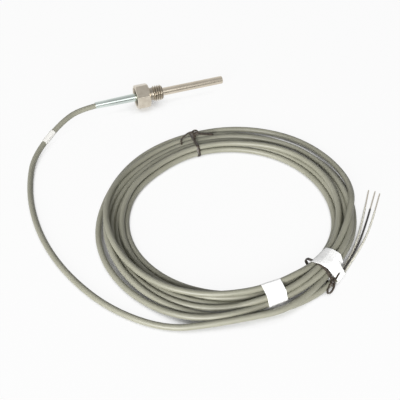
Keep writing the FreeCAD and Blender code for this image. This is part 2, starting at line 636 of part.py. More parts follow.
# The paper labels are folded over the bundle, one across all of it and one on its inner strands.
# They end just above the table.
band_slab = slab_across(
    "band_slab", "sizes.band_label_angle", "sizes.band_label_width", PAST_THE_COIL, "sizes.paper")
flag_slab = slab_across(
    "flag_slab", "sizes.flag_label_angle", "sizes.flag_label_width", "sizes.flag_label_edge", "sizes.paper")
for label, slab in (("label_band", band_slab), ("label_flag", flag_slab)):
    wrapped = combine("Common", f"{label}_wrapped", papered_bundle, slab)
    keep(combine("Cut", f"{label}_paper", wrapped, whole_bundle), label)

# The three connecting wires leave the stripped end side by side, come down to the table and spread.
stripped_end = strand_point(number("sizes.strand_to"))
outward = toward(number("sizes.strand_to"))
onward = toward(number("sizes.strand_to") + 90)
WIRE_RUN = 13.0
wire_radius = number("sizes.wire_dia / 2")
spread = number("sizes.wire_spread")
sink = number("sizes.wire_sink")
lift = number("sizes.wire_lift")
wires = {
    "one": (
        stripped_end - outward * spread - Vector(0, 0, sink),
        [(85.3, -172.4), (98.7, -153.3)],
    ),
    "two": (
        stripped_end + Vector(0, 0, lift),
        [(87.6, -173.0), (101.6, -155.2)],
    ),
    "three": (
        stripped_end + outward * spread - Vector(0, 0, sink),
        [(90.5, -174.5), (103.6, -158.0)],
    ),
}
for label, (start, floor_points) in wires.items():
    points = [start, start + onward * WIRE_RUN] + [Vector(x, y, wire_radius) for x, y in floor_points]
    route = rounded_route(f"lead wire {label}", points)
    fixed_shape(f"lead_wire_{label}", tube_along(route, wire_radius, onward))
    tinned = Part.makeCylinder(
        number("sizes.tinned_dia / 2"), number("sizes.tinned_length"),
        points[-1], (points[-1] - points[-2]).normalize())
    fixed_shape(f"tinned_end_{label}", tinned)

document.recompute()
for item in document.Objects:
    if "Invalid" in item.State or "Error" in item.State:
        raise ValueError(f"{item.Name} ({item.Label}) failed: {item.State}")
os.makedirs("parts", exist_ok=True)
for label, piece in parts.items():
    shape = piece.Shape
    if shape.isNull() or not shape.isValid():
        raise ValueError(f"{label} has no valid shape")
    box = shape.BoundBox
    print(f"{label:18s} solids {len(shape.Solids)} volume {shape.Volume:9.1f}",
          f"x {box.XMin:7.1f} {box.XMax:7.1f} y {box.YMin:7.1f} {box.YMax:7.1f}",
          f"z {box.ZMin:6.2f} {box.ZMax:6.2f}")
    shape.exportStep(f"parts/{label}.step")
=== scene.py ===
import math

import bmesh
import bpy
import numpy as np
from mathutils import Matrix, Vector


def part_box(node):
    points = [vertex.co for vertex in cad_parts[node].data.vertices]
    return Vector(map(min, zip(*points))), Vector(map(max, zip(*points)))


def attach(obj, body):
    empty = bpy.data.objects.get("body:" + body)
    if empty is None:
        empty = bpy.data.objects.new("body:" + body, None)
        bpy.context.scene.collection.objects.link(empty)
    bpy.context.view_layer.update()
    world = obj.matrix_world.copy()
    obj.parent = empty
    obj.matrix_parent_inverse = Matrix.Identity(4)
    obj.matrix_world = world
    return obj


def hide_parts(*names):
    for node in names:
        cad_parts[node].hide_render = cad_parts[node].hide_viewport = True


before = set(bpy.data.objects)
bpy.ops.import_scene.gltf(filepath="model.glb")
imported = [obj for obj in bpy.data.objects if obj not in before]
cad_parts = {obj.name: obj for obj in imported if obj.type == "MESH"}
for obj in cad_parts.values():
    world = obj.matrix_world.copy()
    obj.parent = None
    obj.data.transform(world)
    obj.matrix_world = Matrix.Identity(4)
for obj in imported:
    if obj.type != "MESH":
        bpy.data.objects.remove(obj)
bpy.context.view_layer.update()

# The process fitting: stainless steel, turned from hexagon bar. The ends of the hexagon are
# chamfered on the lathe, its rear face is bored out to a dish round the sleeve, and the outer
# thread runs out into an undercut next to the hexagon. The inside of the dish and the roots of the
# thread are darkened with painted shade.


def skin(name, grid, sharp, closed_rows=True):
    """Mesh of quads over a grid of points, rows x columns x 3. Every row is a closed ring, and with
    closed_rows the last row joins the first as well. Points that meet, as at a pole, are merged, and
    the faces are turned outwards. Edges between faces that turn by more than sharp (in degrees) stay
    crisp."""
    rows, columns = grid.shape[:2]
    index = np.arange(rows * columns).reshape(rows, columns)
    if closed_rows:
        index = np.vstack([index, index[:1]])
    index = np.hstack([index, index[:, :1]])
    quads = np.stack([index[:-1, :-1], index[:-1, 1:], index[1:, 1:], index[1:, :-1]], axis=-1)
    mesh = bpy.data.meshes.new(name)
    mesh.from_pydata(grid.reshape(-1, 3).tolist(), [], quads.reshape(-1, 4).tolist())
    closed = bmesh.new()
    closed.from_mesh(mesh)
    bmesh.ops.remove_doubles(closed, verts=closed.verts, dist=0.001 * MM)
    bmesh.ops.recalc_face_normals(closed, faces=closed.faces)
    closed.to_mesh(mesh)
    closed.free()
    mesh.shade_smooth()
    mesh.set_sharp_from_angle(angle=math.radians(sharp))
    piece = bpy.data.objects.new(name, mesh)
    bpy.context.collection.objects.link(piece)
    return piece


class Signal:
    """One output of a material's nodes. Signals add, subtract and multiply as numbers do."""

    def __init__(self, nodes, socket):
        self.nodes = nodes
        self.socket = socket

    def joined(self, operation, first, second):
        return self.nodes.add("ShaderNodeMath", {"operation": operation}, {0: first, 1: second})

    def __add__(self, other):
        return self.joined("ADD", self, other)

    def __radd__(self, other):
        return self.joined("ADD", other, self)

    def __sub__(self, other):
        return self.joined("SUBTRACT", self, other)

    def __rsub__(self, other):
        return self.joined("SUBTRACT", other, self)

    def __mul__(self, other):
        return self.joined("MULTIPLY", self, other)

    def __rmul__(self, other):
        return self.joined("MULTIPLY", other, self)

    def rise(self, low, high):
        """0 at low and 1 at high, straight between them and level outside."""
        return self.nodes.add("ShaderNodeMapRange", {"clamp": True},
                              {"Value": self, "From Min": low, "From Max": high})

    def blend(self, first, second):
        """The first colour where the signal is 0 and the second where it is 1."""
        colours = [value if isinstance(value, Signal) else (*value, 1) for value in (first, second)]
        return self.nodes.add("ShaderNodeMix", {"data_type": "RGBA"},
                              {"Factor": self, 6: colours[0], 7: colours[1]}, output=2)


class Nodes:
    """The node tree of a material or of the world."""

    def __init__(self, tree):
        self.tree = tree

    def add(self, kind, settings, inputs, output=0):
        """Put a node in the tree, set it up, feed its inputs with values or signals."""
        node = self.tree.nodes.new(kind)
        for name, value in settings.items():
            setattr(node, name, value)
        for key, value in inputs.items():
            if isinstance(value, Signal):
                self.tree.links.new(value.socket, node.inputs[key])
            else:
                node.inputs[key].default_value = value
        return Signal(self, node.outputs[output])


class Finish(Nodes):
    """A material: a Principled shader with textures in Object coordinates."""

    def __init__(self, name, **shader_values):
        self.material = bpy.data.materials.new(name)
        self.material.use_nodes = True
        super().__init__(self.material.node_tree)
        self.shader = self.tree.nodes["Principled BSDF"]
        for label, value in shader_values.items():
            self.shader.inputs[label.replace("_", " ")].default_value = value

    def place(self, scale=(1, 1, 1), shift=(0, 0, 0)):
        """Object coordinates, stretched by a scale along each axis and then shifted."""
        coordinates = self.add("ShaderNodeTexCoord", {}, {}, output="Object")
        return self.add("ShaderNodeMapping", {},
                        {"Vector": coordinates, "Scale": scale, "Location": shift})

    def noise(self, scale, stretch=(1, 1, 1)):
        """Cloudy noise; scale is in patches per metre, and a small stretch draws it out into lines."""
        return self.add("ShaderNodeTexNoise", {},
                        {"Vector": self.place(stretch), "Scale": scale, "Detail": 3})

    def along(self, axis):
        """The place along one axis of the object, in metres."""
        return self.add("ShaderNodeSeparateXYZ", {}, {"Vector": self.place()}, output=axis)

    def from_probe_axis(self):
        """The distance from the probe's axis, in metres."""
        across = self.place((0, 1, 1), (0, 0, -AXIS_HEIGHT))
        return self.add("ShaderNodeVectorMath", {"operation": "LENGTH"}, {0: across}, output="Value")

    def feed(self, **links):
        """Link signals to the shader's sockets, which are named as keywords."""
        for label, signal in links.items():
            self.tree.links.new(signal.socket, self.shader.inputs[label.replace("_", " ")])

    def bump(self, height, depth):
        """Surface relief from a height signal; depth is in metres."""
        self.feed(Normal=self.add("ShaderNodeBump", {}, {"Height": height, "Distance": depth}))

    def paint(self, slot, *pieces):
        """Put the material on pieces. The slot argument is not used."""
        for piece in pieces:
            piece.data.materials.clear()
            piece.data.materials.append(self.material)


MM = 0.001
FITTING_LOW, FITTING_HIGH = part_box("process_fitting")
AXIS_HEIGHT = FITTING_HIGH.z / 2
HEX_REAR = FITTING_LOW.x
HEX_FRONT = HEX_REAR + 10.6 * MM
HEX_ACROSS_FLATS = FITTING_HIGH.z * math.cos(math.radians(30))
HEX_CORNER_CUT = 0.12 * MM
HEX_FACE_RADIUS = 7.9 * MM
HEX_CHAMFER = math.tan(math.radians(30))
NECK_RADIUS = 4.9 * MM
NECK_END = HEX_FRONT + 2.8 * MM
THREAD_RADIUS = 6.0 * MM
THREAD_PITCH = 1.75 * MM
THREAD_DEPTH = 0.6134 * THREAD_PITCH
THREAD_CREST = THREAD_PITCH / 8
THREAD_FLANK = math.tan(math.radians(60))
THREAD_LEAD = 1.2 * MM
THREAD_END = FITTING_HIGH.x
THREAD_ROWS = 125
DISH_RADIUS = 7.1 * MM
DISH_FLOOR_RADIUS = 6.2 * MM
DISH_DEPTH = 2.4 * MM
SOCKET_RADIUS = 3.53 * MM
SOCKET_END = HEX_REAR + DISH_DEPTH + 5.0 * MM
BORE_RADIUS = 3.03 * MM
RIM_ROUND = 0.3 * MM
ROUND_SEGMENTS = 240
STEEL_TONES = (0.59, 0.53, 0.44), (0.71, 0.65, 0.55)
# Painted shade for the roots of the thread: a darker steel tone.
THREAD_ROOT_SHADE_TONE = (0.38, 0.34, 0.28)
# Painted shade for the inside of the dish: a near black steel tone.
DISH_SHADE_TONE = (0.10, 0.085, 0.065)
TONE_EDGE = 0.1 * MM


def around_axis(along, radius, turned):
    """Points round the probe's axis: a place along it, a distance from it and an angle about it."""
    along, radius, turned = np.broadcast_arrays(along, radius, turned)
    return np.stack([along, radius * np.cos(turned), AXIS_HEIGHT + radius * np.sin(turned)], axis=-1)


def fitting_surface():
    """Closed outline turned about the axis. The rim of the dish is a quarter circle. On the hexagon
    the radius is half the width across flats over the cosine of the angle from the middle of a flat,
    cut off a little at the corners, and the chamfer cones end where they meet it. On the thread it
    is the major radius less a helical groove with sides at 60 degrees to the axis, and no more than
    the 45 degree cones at both ends leave. The bore comes back in steps."""
    turned = np.linspace(0, 2 * math.pi, ROUND_SEGMENTS, endpoint=False)[None, :]
    from_flat = (turned + math.pi / 6) % (math.pi / 3) - math.pi / 6
    hexagon = np.minimum(HEX_ACROSS_FLATS / 2 / np.cos(from_flat), FITTING_HIGH.z / 2 - HEX_CORNER_CUT)
    chamfer = (hexagon - HEX_FACE_RADIUS) * HEX_CHAMFER

    rim_angle = np.linspace(math.pi, math.pi / 2, 6)[:, None]
    rim = around_axis(HEX_REAR + RIM_ROUND * (1 - np.sin(rim_angle)),
                      DISH_RADIUS + RIM_ROUND * (1 + np.cos(rim_angle)), turned)

    step = np.linspace(0, 1, 7)[:, None]
    cut_radius = HEX_FACE_RADIUS + step * (hexagon - HEX_FACE_RADIUS)
    rear_chamfer = around_axis(HEX_REAR + step * chamfer, cut_radius, turned)
    front_chamfer = around_axis(HEX_FRONT - step[::-1] * chamfer, cut_radius[::-1], turned)

    thread_along = np.linspace(NECK_END, THREAD_END, THREAD_ROWS)[:, None]
    phase = ((thread_along - HEX_FRONT) / THREAD_PITCH + turned / (2 * math.pi)) % 1
    from_crest = np.abs(phase - 0.5) * THREAD_PITCH
    groove = np.clip((from_crest - THREAD_CREST / 2) * THREAD_FLANK, 0, THREAD_DEPTH)
    run_out = NECK_RADIUS + thread_along - NECK_END
    lead = THREAD_RADIUS - THREAD_LEAD + THREAD_END - thread_along
    thread = around_axis(thread_along, np.minimum(THREAD_RADIUS - groove, np.minimum(run_out, lead)),
                         turned)

    neck = around_axis(HEX_FRONT, NECK_RADIUS, turned)
    inside = [
        (THREAD_END, BORE_RADIUS),
        (SOCKET_END, BORE_RADIUS),
        (SOCKET_END, SOCKET_RADIUS),
        (HEX_REAR + DISH_DEPTH, SOCKET_RADIUS),
        (HEX_REAR + DISH_DEPTH, DISH_FLOOR_RADIUS),
    ]
    bore = [around_axis(along, radius, turned) for along, radius in inside]
    return np.concatenate([rim, rear_chamfer, front_chamfer, neck, thread, *bore])


fitting = skin("threaded_fitting", fitting_surface(), sharp=28)
turned_steel = Finish("turned_steel", Metallic=1.0)
# Painted shade in the dish round the sleeve: inside its rim the base colour darkens to near black between
# 0.2 and 1.6 mm deep, and fades back out along the socket beyond the dish floor.
depth_in_dish = turned_steel.along("X").rise(HEX_REAR + 2 * TONE_EDGE, HEX_REAR + 16 * TONE_EDGE)
dish = turned_steel.from_probe_axis().rise(DISH_RADIUS + 1.5 * TONE_EDGE, DISH_RADIUS) * depth_in_dish
dish = dish * turned_steel.along("X").rise(SOCKET_END, HEX_REAR + DISH_DEPTH)
# Painted shade at the roots of the thread: below the crests the base colour darkens, on the neck and
# thread in front of the hexagon.
thread_root_shade = turned_steel.from_probe_axis().rise(THREAD_RADIUS - TONE_EDGE, THREAD_RADIUS - 9 * TONE_EDGE)
thread_root_shade = thread_root_shade * turned_steel.along("X").rise(HEX_FRONT - TONE_EDGE, HEX_FRONT + TONE_EDGE)
on_hexagon = turned_steel.along("X").rise(HEX_FRONT + TONE_EDGE, HEX_FRONT)
bar_lines = turned_steel.noise(1100, stretch=(0.08, 1, 1)) * on_hexagon
tool_lines = turned_steel.noise(2500, stretch=(1, 0.03, 0.03)) * (1 - on_hexagon)
lines = bar_lines + tool_lines
clean_steel = turned_steel.noise(240).rise(0.3, 0.7).blend(*STEEL_TONES)
# The steel's own random tones with the painted root shade over them; the painted dish shade goes over
# both.
steel_with_root_shade = thread_root_shade.blend(clean_steel, THREAD_ROOT_SHADE_TONE)
turned_steel.feed(Base_Color=dish.blend(steel_with_root_shade, DISH_SHADE_TONE), Roughness=0.2 + 0.22 * lines)
turned_steel.bump(lines, depth=0.012 * MM)
turned_steel.paint("fitting_steel", fitting)
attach(fitting, "root")
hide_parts("process_fitting")

# The protection tube is drawn from stainless steel, closed and rounded at its tip and polished along
# its length. It is brazed into the front of the fitting.
STEM_TONES = (0.62, 0.55, 0.45), (0.72, 0.65, 0.54)
drawn_steel = Finish("drawn_steel", Metallic=1.0)
draw_lines = drawn_steel.noise(1500, stretch=(0.04, 1, 1))
drawn_steel.feed(Base_Color=drawn_steel.noise(90).rise(0.3, 0.7).blend(*STEM_TONES),
                 Roughness=0.17 + 0.14 * draw_lines)
drawn_steel.bump(draw_lines, depth=0.004 * MM)
drawn_steel.paint("stem_steel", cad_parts["protection_tube"])

# The crimp sleeve is plated steel. Its head sits in the fitting and its tail is swaged down on the
# cable.
PLATING_TONES = (0.58, 0.64, 0.61), (0.70, 0.77, 0.73)
plated_steel = Finish("plated_steel", Metallic=1.0)
swage_marks = plated_steel.noise(800, stretch=(0.12, 1, 1))
plated_steel.feed(Base_Color=plated_steel.noise(120).rise(0.3, 0.7).blend(*PLATING_TONES),
                  Roughness=0.12 + 0.14 * swage_marks)
plated_steel.bump(swage_marks, depth=0.006 * MM)
plated_steel.paint("sleeve_steel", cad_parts["crimp_sleeve"])

# Inside the tube: a ceramic sensing element with two bare wires in packed powder, joined to the
# three cores of the cable under shrunk tubing.
CERAMIC_TONES = (0.82, 0.80, 0.74), (0.90, 0.88, 0.83)
BARE_WIRE_TONES = (0.66, 0.64, 0.60), (0.78, 0.76, 0.72)
POWDER_TONES = (0.84, 0.83, 0.80), (0.94, 0.93, 0.90)
TUBING_TONES = (0.085, 0.085, 0.095), (0.12, 0.12, 0.13)
WHITE_CORE_TONES = (0.82, 0.79, 0.66), (0.90, 0.88, 0.78)
BLACK_CORE_TONES = (0.022, 0.020, 0.018), (0.05, 0.045, 0.04)
ceramic = Finish("fired_ceramic", Roughness=0.55)
ceramic.feed(Base_Color=ceramic.noise(900).blend(*CERAMIC_TONES))
ceramic.paint("element_ceramic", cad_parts["sensing_element"])
bare_wire = Finish("bare_wire", Metallic=1.0, Roughness=0.25)
bare_wire.feed(Base_Color=bare_wire.noise(600).blend(*BARE_WIRE_TONES))
bare_wire.paint("bright_wire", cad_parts["element_wire_one"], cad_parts["element_wire_two"])
powder = Finish("packed_powder", Roughness=0.95)
grains = powder.noise(6000)
powder.feed(Base_Color=grains.blend(*POWDER_TONES))
powder.bump(grains, depth=0.05 * MM)
powder.paint("filler_powder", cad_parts["tip_filler"])
tubing = Finish("shrunk_tubing", Roughness=0.45)
tubing.feed(Base_Color=tubing.noise(500).blend(*TUBING_TONES))
tubing.paint("splice_plastic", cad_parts["splice_tube_one"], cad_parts["splice_tube_two"])
white_insulation = Finish("white_insulation", Roughness=0.42)
white_insulation.feed(Base_Color=white_insulation.noise(350).blend(*WHITE_CORE_TONES))
white_insulation.paint("core_white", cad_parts["core_one"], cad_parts["core_three"])
black_insulation = Finish("black_insulation", Roughness=0.38)
black_insulation.feed(Base_Color=black_insulation.noise(350).blend(*BLACK_CORE_TONES))
black_insulation.paint("core_black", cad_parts["core_two"])

# The cable: one length of 4 mm cable with an olive grey jacket. It leaves the sleeve, comes down
# to the table, sweeps round to the coil and is wound there in seven loose turns that lie beside and
# on each other. Its route and radii are in millimetres.
CABLE_RADIUS = 2.0
LEAD_ROUTE = [
    (-38.75, 0.0, 9.815),
    (-60.25, 0.0, 9.815),
    (-78.0, -8.4, 8.5),
    (-103.5, -32.8, 3.5),
    (-111.4, -56.0, 2.0),
    (-115.0, -84.0, 2.0),
    (-112.8, -116.0, 2.0),
    (-103.0, -149.0, 2.0),
    (-84.5, -181.5, 2.0),
    (-57.0, -205.5, 2.0),
    (-30.18, -211.99, 4.2),
    (-4.46, -215.79, 6.0),
]
STRIPPED_END = (59.99, -198.76, 2.0)
COIL_MIDDLE = np.array([8.5, -129.5])
COIL_START = -90.0
STATIONS_PER_TURN = 12
# Each row is one turn: the cable's distance from the coil's middle at twelve stations, from the front
# round to the right.
TURNS = [
    [86.9, 81.2, 83.0, 84.7, 82.4, 79.8, 78.4, 77.8, 79.8, 79.8, 76.8, 72.0],
    [69.8, 71.2, 72.9, 73.9, 72.3, 66.8, 64.6, 64.0, 68.0, 71.4, 72.1, 71.2],
    [71.4, 69.6, 71.0, 69.9, 67.2, 64.2, 62.4, 61.8, 65.8, 67.9, 67.8, 67.2],
    [67.8, 73.2, 74.9, 73.4, 71.2, 68.3, 66.5, 65.9, 69.8, 74.9, 76.3, 75.2],
    [74.6, 77.0, 78.8, 77.1, 76.0, 72.2, 70.4, 69.8, 73.8, 78.3, 80.2, 79.4],
    [77.2, 75.0, 78.0, 87.3, 90.3, 86.8, 82.4, 81.7, 82.3, 87.4, 89.3, 87.8],
    [79.2, 79.0, 80.9, 80.9, 79.8, 76.0, 74.4, 73.8, 77.6, 81.8, 84.0, 84.1],
    [83.8, 85.6],
]
POINTS_PER_TURN = 48
# Which turns lie lowest and which on top, in four parts of the circle. A part is a range of points.
LAID_ORDER = [
    (slice(0, 5), [3, 4, 7, 0, 6, 2, 1, 5]),
    (slice(5, 25), [2, 7, 3, 4, 0, 6, 1, 5]),
    (slice(25, 46), [2, 3, 4, 6, 5, 1, 0]),
    (slice(46, 48), [2, 3, 6, 5, 4, 1, 0]),
]
CABLE_GRIP = 3.95
EASING = [0.1, 0.2, 0.4, 0.2, 0.1]
SETTLING_ROUNDS = 5
FAR_OUTSIDE = 1000.0
JACKET_TONES = (0.262, 0.258, 0.200), (0.305, 0.300, 0.238)


def smooth_through(stops, along):
    """Cubic curve through stops (each a number or a point) at places counted in stops: at each of
    them it runs in the direction of the line between its neighbours."""
    last = len(stops) - 1
    before = np.clip(along.astype(int), 0, last - 1)
    part = (along - before).reshape(-1, *[1] * (stops.ndim - 1))
    a, b, c, d = (stops[np.clip(before + shift, 0, last)] for shift in (-1, 0, 1, 2))
    return 0.5 * (2 * b + (c - a) * part + (2 * a - 5 * b + 4 * c - d) * part**2
                  + (3 * b - a - 3 * c + d) * part**3)


def laid_heights(radii):
    """Heights of the cable's centre from its radii, both turns x points. A turn lies on the table,
    or as high as it has to be to clear the turns laid there before it: over each, the square root of
    the grip squared less the gap between their radii squared. The grip is the distance between the
    centres of two turns that touch. The order differs in four parts of the coil. The steps are eased
    along the cable, and both are repeated until the turns settle."""
    heights = np.full_like(radii, CABLE_RADIUS)
    for _ in range(SETTLING_ROUNDS):
        eased = np.convolve(np.pad(heights.ravel(), 2, mode="edge"), EASING, mode="valid")
        heights = eased.reshape(heights.shape)
        for points, order in LAID_ORDER:
            for place, turn in enumerate(order[1:], start=1):
                laid = order[:place]
                clear = CABLE_GRIP**2 - (radii[laid, points] - radii[turn, points]) ** 2
                on_top = np.where(clear > 0, heights[laid, points] + np.sqrt(np.maximum(clear, 0)), 0)
                heights[turn, points] = np.maximum(heights[turn, points], on_top.max(axis=0))
    return heights.ravel()


def coil_points():
    """Control points of the wound turns, moved out a little because the curve cuts their corners.
    The last turn ends early, so the rest of its row lies far outside the others while heights are
    worked out."""
    stops = np.array(sum(TURNS, []))
    count = round((len(stops) - 1) * POINTS_PER_TURN / STATIONS_PER_TURN) + 1
    along = np.arange(count) * STATIONS_PER_TURN / POINTS_PER_TURN
    radii = smooth_through(stops, along)
    unused = np.full(len(TURNS) * POINTS_PER_TURN - count, FAR_OUTSIDE)
    heights = laid_heights(np.concatenate([radii, unused]).reshape(len(TURNS), POINTS_PER_TURN))
    angle = math.radians(COIL_START) + along * 2 * math.pi / STATIONS_PER_TURN
    reach = radii / math.cos(math.pi / POINTS_PER_TURN)
    across, up = COIL_MIDDLE[0] + reach * np.cos(angle), COIL_MIDDLE[1] + reach * np.sin(angle)
    return np.stack([across, up, heights[:count]], axis=-1).tolist()


def laid_curve(name, points, radius, steps, sides):
    """A round cord along a NURBS curve whose control points and radius are in millimetres."""
    curve = bpy.data.curves.new(name, "CURVE")
    curve.dimensions = "3D"
    curve.resolution_u = steps
    curve.bevel_depth = radius * MM
    curve.bevel_resolution = sides
    curve.use_fill_caps = True
    spline = curve.splines.new("NURBS")
    spline.points.add(len(points) - 1)
    for point, place in zip(spline.points, points):
        point.co = (*(value * MM for value in place), 1)
    spline.order_u = 3
    spline.use_endpoint_u = True
    cord = bpy.data.objects.new(name, curve)
    bpy.context.collection.objects.link(cord)
    return cord


def centre_line(cord):
    """Points along a cord's curve in millimetres, read from a copy without its thickness."""
    bare = bpy.data.objects.new("centre_line", cord.data.copy())
    bare.data.bevel_depth = 0
    line = bpy.data.meshes.new_from_object(bare)
    points = np.empty(3 * len(line.vertices))
    line.vertices.foreach_get("co", points)
    bpy.data.curves.remove(bare.data)
    bpy.data.meshes.remove(line)
    return points.reshape(-1, 3) / MM


cable_route = LEAD_ROUTE + coil_points() + [STRIPPED_END]
cable = laid_curve("cable", cable_route, CABLE_RADIUS, steps=6, sides=7)
cable_line = centre_line(cable)
jacket = Finish("cable_jacket")
fine_grain = jacket.noise(900)
jacket.feed(Base_Color=jacket.noise(60).rise(0.3, 0.7).blend(*JACKET_TONES),
            Roughness=0.38 + 0.08 * fine_grain)
jacket.bump(fine_grain, depth=0.006 * MM)
jacket.paint("cable_jacket", cable)
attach(cable, "root")
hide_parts("cable_lead", "cable_coil")

# The marker sleeve is a short piece of thin plastic tube in a warm white. It is cut off square,
# pushed over the cable and left blank.
MARKER_TONES = (0.88, 0.87, 0.83), (0.91, 0.90, 0.86)
marker_plastic = Finish("marker_plastic", Roughness=0.4)
marker_plastic.feed(Base_Color=marker_plastic.noise(120).blend(*MARKER_TONES))
marker_plastic.paint("marker_plastic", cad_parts["marker_sleeve"])

# Three cores come out of the stripped end: two with off-white insulation and one with black. Their
# last stretch is bare and tinned.
WIRE_RADIUS = 0.6
WIRE_ROUTES = {
    "one": [(59.41, -198.01, 1.5), (69.65, -190.01, 1.5), (85.3, -172.4, 0.6), (98.7, -153.3, 0.6)],
    "two": [(59.99, -198.76, 3.0), (70.23, -190.76, 3.0), (87.6, -173.0, 0.6), (101.6, -155.2, 0.6)],
    "three": [(60.57, -199.51, 1.5), (70.82, -191.51, 1.5), (90.5, -174.5, 0.6), (103.6, -158.0, 0.6)],
}
TINNED_TONES = (0.50, 0.45, 0.38), (0.72, 0.68, 0.60)
tinned = Finish("tinned_strands", Metallic=1.0, Roughness=0.35)
tinned.feed(Base_Color=tinned.noise(900).blend(*TINNED_TONES))
for label, route in WIRE_ROUTES.items():
    wire = laid_curve(f"wire_{label}", route, WIRE_RADIUS, steps=10, sides=3)
    if label == "two":
        black_insulation.paint("core_black", wire)
    else:
        white_insulation.paint("core_white", wire)
    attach(wire, "root")
    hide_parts(f"lead_wire_{label}")
    tinned.paint("tinned_wire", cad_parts[f"tinned_end_{label}"])

# Two ties of dark plastic ribbon over a soft wire hold the turns together. Each goes round the whole
# bundle once and is twisted together outside it, with a small loop bent in the wire there. The free
# ends stand off the cable.
from_middle = (cable_line[:, :2] - COIL_MIDDLE).T
line_angle = np.degrees(np.unwrap(np.arctan2(from_middle[1], from_middle[0])))
line_radius = np.hypot(*from_middle)
MIDDLE_OF_BUNDLE = 76.0
SURROUND = np.linspace(0, 2 * math.pi, 120, endpoint=False)
TABLE_GAP = 0.05
END_NARROWING = 0.75


def strands_at(angle):
    """Radius and height of each pass of the cable at an angle round the coil, in degrees."""
    passes = angle + 360 * np.arange(-1, len(TURNS) + 2)
    passes = passes[(passes > line_angle[0]) & (passes < line_angle[-1])]
    return np.interp(passes, line_angle, line_radius), np.interp(passes, line_angle, cable_line[:, 2])


def wrap(name, angle, profile, sharp, reach_to=100.0, bulge=0.0, flare=0.0):
    """A thin band round the strands out to a radius, square to the coil at an angle in degrees. Its
    profile is a closed row of (place across the band, height over the strands). In each section it
    is the taut outline: in every direction it rests on the strand that reaches farthest that way,
    and it stays a hair above the table. A bulge lifts it off the inner side, and a flare widens it
    towards the inside."""
    out = np.array([math.cos(math.radians(angle)), math.sin(math.radians(angle))])
    sideways = np.array([-out[1], out[0]])
    sections = []
    for across, lift in profile:
        radii, heights = strands_at(angle + math.degrees(across / MIDDLE_OF_BUNDLE))
        held = radii < reach_to
        radii, heights = radii[held], heights[held]
        if bulge:
            radii = np.append(radii, radii.min() - bulge)
            heights = np.append(heights, heights.max() - CABLE_RADIUS)
        pull = radii[:, None] * np.cos(SURROUND) + heights[:, None] * np.sin(SURROUND)
        resting = pull.argmax(axis=0)
        span = radii[resting] + (CABLE_RADIUS + lift) * np.cos(SURROUND)
        height = np.maximum(heights[resting] + (CABLE_RADIUS + lift) * np.sin(SURROUND),
                            TABLE_GAP + lift)
        shift = across * (1 + flare * (1 - span / MIDDLE_OF_BUNDLE))
        plan = COIL_MIDDLE + span[:, None] * out + shift[:, None] * sideways
        sections.append(np.column_stack([plan, height]))
    return skin(name, np.array(sections) * MM, sharp=sharp)


def carried(name, path, profile, lean):
    """A closed profile (rows of sideways and upward offsets) carried along a path in millimetres,
    with its sideways direction square to the path and to the lean direction. Both ends are drawn in
    to a point."""
    ahead = np.gradient(path, axis=0)
    ahead /= np.linalg.norm(ahead, axis=1, keepdims=True)
    side = np.cross(ahead, lean)
    side /= np.linalg.norm(side, axis=1, keepdims=True)
    up = np.cross(side, ahead)
    size = np.ones((len(path), 1, 1))
    size[[0, -1]] = END_NARROWING
    grid = path[:, None] + size * (profile[:, :1] * side[:, None] + profile[:, 1:] * up[:, None])
    tips = [np.repeat(path[end][None, None], len(profile), axis=1) for end in (0, -1)]
    return skin(name, np.concatenate([tips[0], grid, tips[1]]) * MM, closed_rows=False, sharp=50)


def ribbon(width, thickness):
    """Closed outline of a flat ribbon with the ridge of its wire in the middle: the thickness falls
    off from there as a bell curve, down to a third at the edges."""
    turned = np.linspace(0, 2 * math.pi, 24, endpoint=False)
    across = width / 2 * np.cos(turned)
    bell = 0.35 + 0.65 * np.exp(-((across / (0.25 * width)) ** 2))
    return np.column_stack([across, thickness / 2 * np.sin(turned) * bell])


def twist(name, start, end, turns, spread):
    """The two ends of a tie wound round each other: two helices about the line from start to end,
    which close in a little at its ends."""
    start, end = np.array(start), np.array(end)
    ahead = (end - start) / np.linalg.norm(end - start)
    side = np.cross(ahead, (0, 0, 1))
    side /= np.linalg.norm(side)
    up = np.cross(side, ahead)
    part = np.linspace(0, 1, 60)[:, None]
    swell = spread * np.sqrt(np.sin(math.pi * (0.1 + 0.8 * part)))
    pieces = []
    for number in (1, 2):
        angle = 2 * math.pi * turns * part + math.pi * number
        path = start + (end - start) * part + swell * (np.cos(angle) * side + np.sin(angle) * up)
        pieces.append(carried(f"{name}_{number}", path, ribbon(width=1.5, thickness=1.1), up))
    return pieces


def loop(name, middle, along, across):
    """A tie's wire bent round into a flat loop: an ellipse about its middle with two half axes."""
    angle = np.linspace(0, 2 * math.pi, 48)[:, None]
    path = np.array(middle) + np.cos(angle) * np.array(along) + np.sin(angle) * np.array(across)
    return carried(name, path, ribbon(width=1.4, thickness=1.0), np.cross(along, across))


def bent_end(name, points, width, lean=(0, 0, 1)):
    """A free end of a tie along a smooth path through a few given points."""
    path = smooth_through(np.array(points), np.linspace(0, len(points) - 1, 30))
    return carried(name, path, ribbon(width, thickness=0.8), lean)


TOP_LEFT_END = [
    (10.2, -52.7, 10.5),
    (6.4, -52.4, 10.1),
    (2.6, -53.4, 8.6),
    (0.0, -54.9, 7.0),
    (-0.8, -58.0, 5.3),
]
TOP_RIGHT_END = [(10.3, -54.1, 10.2), (13.1, -55.1, 9.8), (17.5, -55.2, 8.4), (24.2, -55.7, 6.4)]
SIDE_END = [(48.6, -206.8, 5.0), (51.6, -204.6, 5.2), (55.0, -201.4, 5.4), (58.4, -197.6, 5.0)]
TIE_WIDTH = 2.3
TIE_THICKNESS = 0.65
TIE_TONES = (0.014, 0.010, 0.007), (0.078, 0.060, 0.044)
band_profile = ribbon(TIE_WIDTH, TIE_THICKNESS) + np.array([0, TIE_THICKNESS / 2])
tie_plastic = Finish("tie_plastic", Roughness=0.32)
scuffs = tie_plastic.noise(700).rise(0.35, 0.65)
tie_plastic.feed(Base_Color=scuffs.blend(*TIE_TONES))
